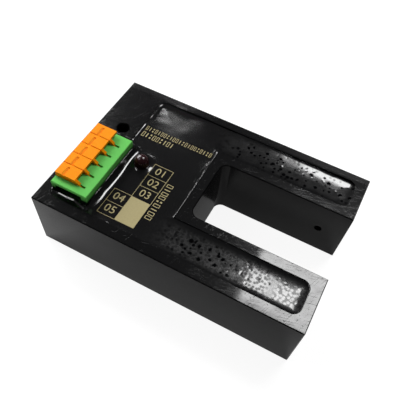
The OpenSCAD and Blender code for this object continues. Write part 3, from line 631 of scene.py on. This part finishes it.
bars = [
    ((BOX_MIDDLE_X, UPPER_BOX_LINES[0]), (BOX_MIDDLE_X, UPPER_BOX_LINES[-1]), INK_LINE),
    ((BOX_RIGHT_X, UPPER_BOX_LINES[0]), (BOX_RIGHT_X, UPPER_BOX_LINES[-1]), INK_LINE),
    ((BOX_LEFT_X, LOWER_BOX_LINES[0]), (BOX_LEFT_X, LOWER_BOX_LINES[-1]), INK_LINE),
]
bars += [((BOX_MIDDLE_X, y), (BOX_RIGHT_X, y), INK_LINE) for y in UPPER_BOX_LINES[:-1]]
bars += [((BOX_LEFT_X, y), (BOX_MIDDLE_X, y), INK_LINE) for y in LOWER_BOX_LINES]
field_y = (LOWER_BOX_LINES[0] + LOWER_BOX_LINES[-1]) / 2
field_height = LOWER_BOX_LINES[0] - LOWER_BOX_LINES[-1]
bars.append(((BOX_MIDDLE_X, field_y), (BOX_RIGHT_X, field_y), field_height))
for row in MARK_ROWS:
    bars += printed_row(**row)
ink_points = []
ink_faces = []
total = 0
for start, end, width in bars:
    bar_points, bar_faces = printed_bar(start, end, width)
    ink_points.append(bar_points)
    ink_faces.append(bar_faces + total)
    total += len(bar_points)
ink_mesh = bpy.data.meshes.new("printing")
ink_mesh.from_pydata(np.concatenate(ink_points) * MM, [], np.concatenate(ink_faces).tolist())
ink = surface("ink_screen_printed_cream", screen_ink)
ink_mesh.materials.append(ink)
piece("printing", ink_mesh, "sensor_body", "black_resin")

number_places = []
upper_x = (BOX_MIDDLE_X + BOX_RIGHT_X) / 2
lower_x = (BOX_LEFT_X + BOX_MIDDLE_X) / 2
number_places += [(upper_x, y - NUMBER_DROP) for y in UPPER_BOX_LINES[:-1]]
number_places += [(lower_x, y - NUMBER_DROP) for y in LOWER_BOX_LINES[:-1]]
for pole, (x, y) in enumerate(number_places, start=1):
    words = bpy.data.curves.new("pole_number", "FONT")
    words.body = f"0{pole}"
    words.size = NUMBER_SIZE * MM
    words.align_x = "CENTER"
    words.align_y = "CENTER"
    words.resolution_u = 3
    holder = bpy.data.objects.new("pole_number", words)
    bpy.context.scene.collection.objects.link(holder)
    mesh = bpy.data.meshes.new_from_object(holder)
    bpy.data.objects.remove(holder)
    strokes = np.zeros(3 * len(mesh.vertices))
    mesh.vertices.foreach_get("co", strokes)
    strokes = strokes.reshape(-1, 3) / MM + [x, y, 0]
    strokes[:, 2] = resin_height(strokes[:, :2]) + INK_LIFT
    mesh.vertices.foreach_set("co", (strokes * MM).reshape(-1))
    mesh.materials.clear()
    mesh.materials.append(ink)
    piece(f"pole_number_{pole}", mesh, "sensor_body", "black_resin")


# Terminal housing
# Green polyamide, injection moulded, with the faint spark-eroded grain of its mould. Towards its foot
# its colour is painted nearly black as painted shade, which also darkens the recess in its near end.
GRAIN_SIZE = 0.15
# Painted shade: below this height the green housing turns nearly black, at its foot and in its recess.
PAINTED_SHADE_TOP_Z = 26.4 * MM
PAINTED_SHADE_BAND = 1.2 * MM
POLYAMIDE_IOR = 1.53


def moulded_polyamide(face, shade, glow, shade_line):
    """Builder of a moulded polyamide: its two shades, a spark-eroded grain, a soft gloss, the share
    of light that goes a little way in and comes out again, and the height below which painted shade
    darkens it to nearly black."""
    def build(tree):
        place = add(tree, "TexCoord", {}, "Object")
        grain = add(tree, "Mapping", {0: place, "Scale": per_length(GRAIN_SIZE, GRAIN_SIZE, GRAIN_SIZE)})
        grain = add(tree, "TexNoise", {"Vector": grain, "Scale": 1, "Detail": 1})
        tone = add(tree, "Mapping", {0: place, "Scale": per_length(4, 4, 4)})
        tone = add(tree, "TexNoise", {"Vector": tone, "Scale": 1, "Detail": 2})
        tint = add(tree, "Mix", {0: tone, 6: linear(face), 7: linear(shade)}, 2, data_type="RGBA")
        height = add(tree, "SeparateXYZ", {0: place}, "Z")
        # Painted shade: the colour fades to a nearly black green over a band below the given height.
        unshaded_share = add(tree, "MapRange", {0: height, 1: shade_line - PAINTED_SHADE_BAND, 2: shade_line})
        return {
            "Base Color": add(tree, "Mix", {0: unshaded_share, 6: linear("#040a04"), 7: tint}, 2,
                              data_type="RGBA"),
            "Roughness": add(tree, "MapRange", {0: grain, 1: 0.2, 2: 0.8, 3: 0.4, 4: 0.52}),
            "IOR": POLYAMIDE_IOR,
            "Specular IOR Level": 0.06,
            "Subsurface Weight": glow,
            "Subsurface Scale": 0.6 * MM,
            "Normal": add(tree, "Bump", {"Height": grain, "Distance": 0.006 * MM, "Strength": 1}),
        }
    return build


# The green housing takes painted shade at its foot and in its recess; the levers, at height 0, take
# none.
green = surface("polyamide_moulded_green", moulded_polyamide("#6bc760", "#63be58", 0.0, PAINTED_SHADE_TOP_Z))
dress("terminal_housing", green)


# Clamp levers
# Orange polyamide, one moulding each: plate with a groove for a blade, web, finger, shaft and nose.
EDGE_ROUNDING = 0.1
orange = surface("polyamide_moulded_orange", moulded_polyamide("#fa9400", "#f58d00", 0.15, 0))


def merged_faces(name):
    """Copy of a solid's mesh, merged, with the flat triangles of each face joined into one."""
    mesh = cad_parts[name].data.copy()
    shell = bmesh.new()
    shell.from_mesh(mesh)
    bmesh.ops.remove_doubles(shell, verts=shell.verts, dist=0.001 * MM)
    bmesh.ops.dissolve_limit(shell, angle_limit=math.radians(1), verts=shell.verts, edges=shell.edges)
    shell.to_mesh(mesh)
    shell.free()
    return mesh


for pole in range(1, 6):
    lever_mesh = merged_faces(f"clamp_lever_{pole}")
    lever_mesh.materials.clear()
    lever_mesh.materials.append(orange)
    lever = piece(f"lever_{pole}_moulding", lever_mesh, f"lever_{pole}", "orange_nylon",
                  f"clamp_lever_{pole}")
    rounding = lever.modifiers.new("edges", "BEVEL")
    rounding.width = EDGE_ROUNDING * MM
    rounding.segments = 2
    rounding.limit_method = "ANGLE"
    rounding.angle_limit = math.radians(35)


# Clamp springs
# Bent strip of spring steel, rolled, so its faint lines run along the strip.
def rolled_steel(tree):
    """Spring steel: bright, with rolling lines along the strip."""
    place = add(tree, "TexCoord", {}, "Object")
    lines = add(tree, "Mapping", {0: place, "Scale": per_length(4, 0.1, 4)})
    lines = add(tree, "TexNoise", {"Vector": lines, "Scale": 1, "Detail": 2})
    return {
        "Base Color": linear("#b8b9bb"),
        "Metallic": 1.0,
        "Roughness": add(tree, "MapRange", {0: lines, 1: 0.3, 2: 0.7, 3: 0.22, 4: 0.38}),
        "Normal": add(tree, "Bump", {"Height": lines, "Distance": 0.003 * MM, "Strength": 1}),
    }


spring_steel = surface("spring_steel_rolled", rolled_steel)
for pole in range(1, 6):
    dress(f"clamp_spring_{pole}", spring_steel)


# Contacts
# Stamped brass rails with a dull coat of tin.
def tinned_brass(tree):
    """Tin over brass: a pale grey metal with cloudy dull patches."""
    place = add(tree, "TexCoord", {}, "Object")
    cloud = add(tree, "Mapping", {0: place, "Scale": per_length(0.8, 0.8, 0.8)})
    cloud = add(tree, "TexNoise", {"Vector": cloud, "Scale": 1, "Detail": 3})
    return {
        "Base Color": add(tree, "Mix", {0: cloud, 6: linear("#c9c7c1"), 7: linear("#b4b1a8")}, 2,
                          data_type="RGBA"),
        "Metallic": 1.0,
        "Roughness": add(tree, "MapRange", {0: cloud, 1: 0.3, 2: 0.7, 3: 0.3, 4: 0.45}),
    }


tin = surface("brass_stamped_tinned", tinned_brass)
for pole in range(1, 6):
    dress(f"contact_{pole}", tin)


# Status lamp
# A 5 mm lamp of clear dark red epoxy, cast in one with its flange.
LAMP_TOP_Z = 28.0
LAMP_FLANGE_RADIUS = 2.9
LAMP_BASE_Z = 19.4
FLANGE_HEIGHT = 1.0
DIODE_IOR = 1.54


def lathed(profile, centre, segments=64):
    """Surface of revolution: each point of a profile of radius and height is carried round an axis.
    The two ends of the profile lie on the axis, and each closes in a fan of triangles."""
    angles = np.linspace(0, 2 * math.pi, segments, endpoint=False)
    rows = profile[1:-1]
    x = centre[0] + rows[:, 0, None] * np.cos(angles)
    y = centre[1] + rows[:, 0, None] * np.sin(angles)
    z = np.repeat(rows[:, 1, None], segments, axis=1)
    points = np.stack([x, y, z], axis=-1).reshape(-1, 3)
    poles = [[*centre, profile[0, 1]], [*centre, profile[-1, 1]]]
    points = np.concatenate([points, poles])
    number = np.arange(len(rows) * segments).reshape(len(rows), segments)
    after = np.roll(number, -1, axis=1)
    quads = np.stack([number[:-1], after[:-1], after[1:], number[1:]], axis=-1).reshape(-1, 4)
    first, last = len(points) - 2, len(points) - 1
    bottom = np.stack([np.full(segments, first), after[0], number[0]], axis=1)
    top = np.stack([number[-1], after[-1], np.full(segments, last)], axis=1)
    return points, [*quads.tolist(), *bottom.tolist(), *top.tolist()]


def cast_red_epoxy(tree):
    """Clear epoxy dyed so deep that it looks nearly black, with a red glow where it is thin."""
    return {
        "Base Color": linear("#2a070c"),
        "Roughness": 0.22,
        "IOR": DIODE_IOR,
        "Transmission Weight": 0.2,
    }


dome_centre_z = LAMP_TOP_Z - LAMP_RADIUS
dome_angles = np.linspace(0, math.pi / 2, 20)
profile = [(0, LAMP_BASE_Z), (LAMP_FLANGE_RADIUS, LAMP_BASE_Z),
           (LAMP_FLANGE_RADIUS, LAMP_BASE_Z + FLANGE_HEIGHT), (LAMP_RADIUS, LAMP_BASE_Z + FLANGE_HEIGHT)]
profile += [(LAMP_RADIUS * math.cos(angle), dome_centre_z + LAMP_RADIUS * math.sin(angle))
            for angle in dome_angles]
lamp_points, lamp_faces = lathed(np.array(profile), LAMP_PLACE)
lamp_mesh = bpy.data.meshes.new("lamp")
lamp_mesh.from_pydata(lamp_points * MM, [], lamp_faces)
lamp_mesh.polygons.foreach_set("use_smooth", [True] * len(lamp_mesh.polygons))
lamp_mesh.materials.append(surface("epoxy_cast_clear_red", cast_red_epoxy))
piece("lamp_lens", lamp_mesh, "sensor_body", "red_lens", "status_lamp")


# Infrared diodes
# Cast epoxy, one tinted blue and one nearly black, with tinned leads.
def cast_tint(code):
    """Builder of a tinted cast epoxy, with the faint flow marks of its casting."""
    def build(tree):
        place = add(tree, "TexCoord", {}, "Object")
        flow = add(tree, "Mapping", {0: place, "Scale": per_length(1, 1, 1)})
        flow = add(tree, "TexNoise", {"Vector": flow, "Scale": 1, "Detail": 1})
        return {
            "Base Color": linear(code),
            "Roughness": add(tree, "MapRange", {0: flow, 1: 0.3, 2: 0.7, 3: 0.06, 4: 0.12}),
            "IOR": DIODE_IOR,
        }
    return build


dress("infrared_emitter", surface("epoxy_cast_blue_tint", cast_tint("#222a4a")))
dress("infrared_receiver", surface("epoxy_cast_smoke_tint", cast_tint("#44444a")))


# Circuit board and its parts
# Glass-fibre laminate under a green solder mask, with moulded black parts and an aluminium can.
def solder_mask(tree):
    """Green solder mask over a glass weave of 0.5 mm."""
    place = add(tree, "TexCoord", {}, "Object")
    weave = add(tree, "Mapping", {0: place, "Scale": per_length(0.5, 0.5, 0.5)})
    weave = add(tree, "TexWave", {"Vector": weave, "Scale": 1}, "Fac")
    return {
        "Base Color": add(tree, "Mix", {0: weave, 6: linear("#1f5a34"), 7: linear("#184b2a")}, 2,
                          data_type="RGBA"),
        "Roughness": 0.3,
    }


def moulded_case(tree):
    """Black moulding compound with a fine sandy grain."""
    place = add(tree, "TexCoord", {}, "Object")
    grain = add(tree, "Mapping", {0: place, "Scale": per_length(0.1, 0.1, 0.1)})
    grain = add(tree, "TexNoise", {"Vector": grain, "Scale": 1, "Detail": 2})
    return {
        "Base Color": linear("#18181a"),
        "Roughness": add(tree, "MapRange", {0: grain, 1: 0.3, 2: 0.7, 3: 0.5, 4: 0.7}),
        "Normal": add(tree, "Bump", {"Height": grain, "Distance": 0.01 * MM, "Strength": 1}),
    }


def drawn_can(tree):
    """Deep-drawn aluminium with fine lines round the can."""
    place = add(tree, "TexCoord", {}, "Object")
    lines = add(tree, "Mapping", {0: place, "Scale": per_length(3, 3, 0.1)})
    lines = add(tree, "TexNoise", {"Vector": lines, "Scale": 1, "Detail": 2})
    return {
        "Base Color": linear("#c9cacd"),
        "Metallic": 1.0,
        "Roughness": add(tree, "MapRange", {0: lines, 1: 0.3, 2: 0.7, 3: 0.25, 4: 0.4}),
    }


dress("circuit_board", surface("laminate_solder_mask_green", solder_mask))
case = surface("moulding_compound_black", moulded_case)
for name in ("voltage_regulator", "comparator", "output_transistor_1", "output_transistor_2",
             "protection_diode", "chip_resistors"):
    dress(name, case)
dress("smoothing_capacitor", surface("aluminium_drawn_can", drawn_can))


# Floor
# A wide sheet of white card. The camera sees it plain white, with a faint shadow under the sensor.
# A mirrored or bent ray sees one fifth of that white, and four fifths of the card as it is lit.
FLOOR_REACH = 4.0
REFLECTED_SHARE = 0.2
SEEN_GLOW = 0.91
floor_mesh = bpy.data.meshes.new("floor")
floor_corners = np.array([(-1, -1, 0), (1, -1, 0), (1, 1, 0), (-1, 1, 0)]) * FLOOR_REACH
floor_mesh.from_pydata(floor_corners, [], [(0, 1, 2, 3)])
floor = bpy.data.objects.new("floor", floor_mesh)
bpy.context.scene.collection.objects.link(floor)
card = bpy.data.materials.new("card_white")
card.use_nodes = True
card.node_tree.nodes.clear()
eye = add(card.node_tree, "LightPath", {}, "Is Camera Ray")
mirrored = add(card.node_tree, "LightPath", {}, "Is Glossy Ray")
bent = add(card.node_tree, "LightPath", {}, "Is Transmission Ray")
either = add(card.node_tree, "Math", {0: mirrored, 1: bent})
share = add(card.node_tree, "Math", {0: either, 1: REFLECTED_SHARE, 2: eye}, operation="MULTIPLY_ADD")
paper = add(card.node_tree, "BsdfDiffuse", {"Color": linear("#f2f2f2")})
shaded = add(card.node_tree, "BsdfDiffuse", {"Color": linear("#787878")})
lit = add(card.node_tree, "Emission", {"Color": (1, 1, 1, 1), "Strength": SEEN_GLOW})
seen = add(card.node_tree, "AddShader", {0: shaded, 1: lit})
add(card.node_tree, "OutputMaterial",
    {"Surface": add(card.node_tree, "MixShader", {0: share, 1: paper, 2: seen})})
floor_mesh.materials.append(card)


# Light
# A softbox past the receiver arm, a small lamp behind it, a wide softbox low at the rear left, and a
# strip lamp overhead, which draws the bright line before the terminal block. The room is dark, and
# only its ceiling gives the polished faces a faint grey.
ROOM_GREY = 0.02
CEILING_GREY = 0.07


def softbox(name, place, aim, size, power):
    """Rectangular area light at a place, turned to face a point."""
    data = bpy.data.lights.new(name, "AREA")
    data.shape = "RECTANGLE"
    data.size, data.size_y = size
    data.energy = power
    lamp = bpy.data.objects.new(name, data)
    lamp.location = place
    lamp.rotation_euler = (lamp.location - Vector(aim)).to_track_quat("Z", "Y").to_euler()
    lamp.visible_camera = False
    bpy.context.scene.collection.objects.link(lamp)


softbox("key", (0.13, 0.40, 0.70), (0.13, 0.40, 0), (0.31, 0.24), 4.0)
softbox("small", (-0.342, 0.633, 0.70), (-0.342, 0.633, 0), (0.028, 0.028), 0.05)
softbox("rear_left", (-1.1, 0.52, 0.62), (0, 0, 0), (1.0, 0.8), 24)
softbox("overhead", (-0.455, -0.176, 0.65), (-0.038, -0.026, 0), (0.06, 0.32), 0.7)

world = bpy.data.worlds.new("studio")
world.use_nodes = True
world.node_tree.nodes.clear()
eye = add(world.node_tree, "LightPath", {}, "Is Camera Ray")
heading = add(world.node_tree, "TexCoord", {}, "Generated")
heading = add(world.node_tree, "SeparateXYZ", {0: heading}, "Z")
room = add(world.node_tree, "MapRange", {0: heading, 1: 0, 2: 0.6, 3: ROOM_GREY, 4: CEILING_GREY})
level = add(world.node_tree, "Mix", {0: eye, 2: room, 3: 1.0})
sky = add(world.node_tree, "Background", {"Color": (1, 1, 1, 1), "Strength": level})
add(world.node_tree, "OutputWorld", {"Surface": sky})
bpy.context.scene.world = world
bpy.context.scene.view_settings.view_transform = "Standard"
